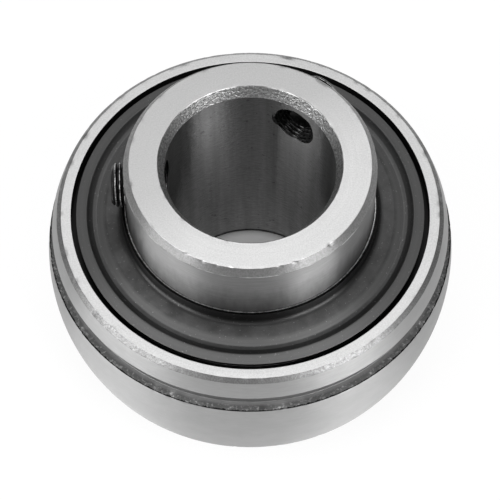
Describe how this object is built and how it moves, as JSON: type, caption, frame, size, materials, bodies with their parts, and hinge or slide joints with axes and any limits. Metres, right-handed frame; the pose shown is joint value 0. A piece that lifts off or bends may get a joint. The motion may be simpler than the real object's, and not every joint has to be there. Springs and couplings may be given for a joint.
{
  "type": "insert bearing",
  "caption": "Sealed ball bearing insert with a spherical outer ring, lubrication groove, dished flingers and a wide inner ring whose collar locks to a shaft with set screws.",
  "frame": {"origin": "centre of the lower face of the inner ring, on the bore axis", "axes": "+Z along the bore axis towards the long side with the set screws; one set screw points along -X"},
  "size_m": [0.047, 0.047, 0.031],
  "materials": {
    "outer_ring_steel": "ground bearing steel, dark unground groove",
    "inner_ring_steel": "ground bearing steel, honed bore",
    "flinger_sheet": "dark phosphated pressed steel, satin",
    "shield_sheet": "pressed steel",
    "seal_rubber": "matt nitrile rubber",
    "cage_sheet": "stamped steel",
    "rivet_steel": "headed steel",
    "ball_steel": "lapped bearing steel",
    "screw_steel": "black oxide"
  },
  "bodies": {
    "inner": {"inner_ring": "inner_ring_steel", "flinger_upper": "flinger_sheet", "flinger_lower": "flinger_sheet"},
    "outer": {"outer_ring": "outer_ring_steel", "seal_shield_upper": "shield_sheet", "seal_shield_lower": "shield_sheet", "seal_lip_upper": "seal_rubber", "seal_lip_lower": "seal_rubber"},
    "cage": {"cage_upper": "cage_sheet", "cage_lower": "cage_sheet", "rivet_1": "rivet_steel", "rivet_2": "rivet_steel", "rivet_3": "rivet_steel", "rivet_4": "rivet_steel", "rivet_5": "rivet_steel", "rivet_6": "rivet_steel", "rivet_7": "rivet_steel", "rivet_8": "rivet_steel"},
    "ball_1": {"ball_1": "ball_steel"},
    "ball_2": {"ball_2": "ball_steel"},
    "ball_3": {"ball_3": "ball_steel"},
    "ball_4": {"ball_4": "ball_steel"},
    "ball_5": {"ball_5": "ball_steel"},
    "ball_6": {"ball_6": "ball_steel"},
    "ball_7": {"ball_7": "ball_steel"},
    "ball_8": {"ball_8": "ball_steel"},
    "screw_1": {"set_screw_1": "screw_steel"},
    "screw_2": {"set_screw_2": "screw_steel"}
  },
  "joints": [
    {"name": "outer_spin", "type": "hinge", "parent": "inner", "child": "outer", "pos_m": [0, 0, 0.0127], "axis": [0, 0, 1], "continuous": true},
    {"name": "cage_spin", "type": "hinge", "parent": "inner", "child": "cage", "pos_m": [0, 0, 0.0127], "axis": [0, 0, 1], "continuous": true},
    {"name": "ball_1_spin", "type": "hinge", "parent": "cage", "child": "ball_1", "pos_m": [0.01548, 0.00641, 0.0127], "axis": [0, 0, 1], "continuous": true},
    {"name": "ball_2_spin", "type": "hinge", "parent": "cage", "child": "ball_2", "pos_m": [0.00641, 0.01548, 0.0127], "axis": [0, 0, 1], "continuous": true},
    {"name": "ball_3_spin", "type": "hinge", "parent": "cage", "child": "ball_3", "pos_m": [-0.00641, 0.01548, 0.0127], "axis": [0, 0, 1], "continuous": true},
    {"name": "ball_4_spin", "type": "hinge", "parent": "cage", "child": "ball_4", "pos_m": [-0.01548, 0.00641, 0.0127], "axis": [0, 0, 1], "continuous": true},
    {"name": "ball_5_spin", "type": "hinge", "parent": "cage", "child": "ball_5", "pos_m": [-0.01548, -0.00641, 0.0127], "axis": [0, 0, 1], "continuous": true},
    {"name": "ball_6_spin", "type": "hinge", "parent": "cage", "child": "ball_6", "pos_m": [-0.00641, -0.01548, 0.0127], "axis": [0, 0, 1], "continuous": true},
    {"name": "ball_7_spin", "type": "hinge", "parent": "cage", "child": "ball_7", "pos_m": [0.00641, -0.01548, 0.0127], "axis": [0, 0, 1], "continuous": true},
    {"name": "ball_8_spin", "type": "hinge", "parent": "cage", "child": "ball_8", "pos_m": [0.01548, -0.00641, 0.0127], "axis": [0, 0, 1], "continuous": true},
    {"name": "screw_1_travel", "type": "slide", "parent": "inner", "child": "screw_1", "axis": [1, 0, 0], "range_m": [-0.003, 0.002]},
    {"name": "screw_2_travel", "type": "slide", "parent": "inner", "child": "screw_2", "axis": [-0.5373, -0.8434, 0], "range_m": [-0.003, 0.002]}
  ],
  "couplings": [
    {"joint": "cage_spin", "follows": "outer_spin", "ratio": 0.61847},
    {"joint": "ball_1_spin", "follows": "outer_spin", "ratio": 1.9918},
    {"joint": "ball_2_spin", "follows": "outer_spin", "ratio": 1.9918},
    {"joint": "ball_3_spin", "follows": "outer_spin", "ratio": 1.9918},
    {"joint": "ball_4_spin", "follows": "outer_spin", "ratio": 1.9918},
    {"joint": "ball_5_spin", "follows": "outer_spin", "ratio": 1.9918},
    {"joint": "ball_6_spin", "follows": "outer_spin", "ratio": 1.9918},
    {"joint": "ball_7_spin", "follows": "outer_spin", "ratio": 1.9918},
    {"joint": "ball_8_spin", "follows": "outer_spin", "ratio": 1.9918}
  ]
}
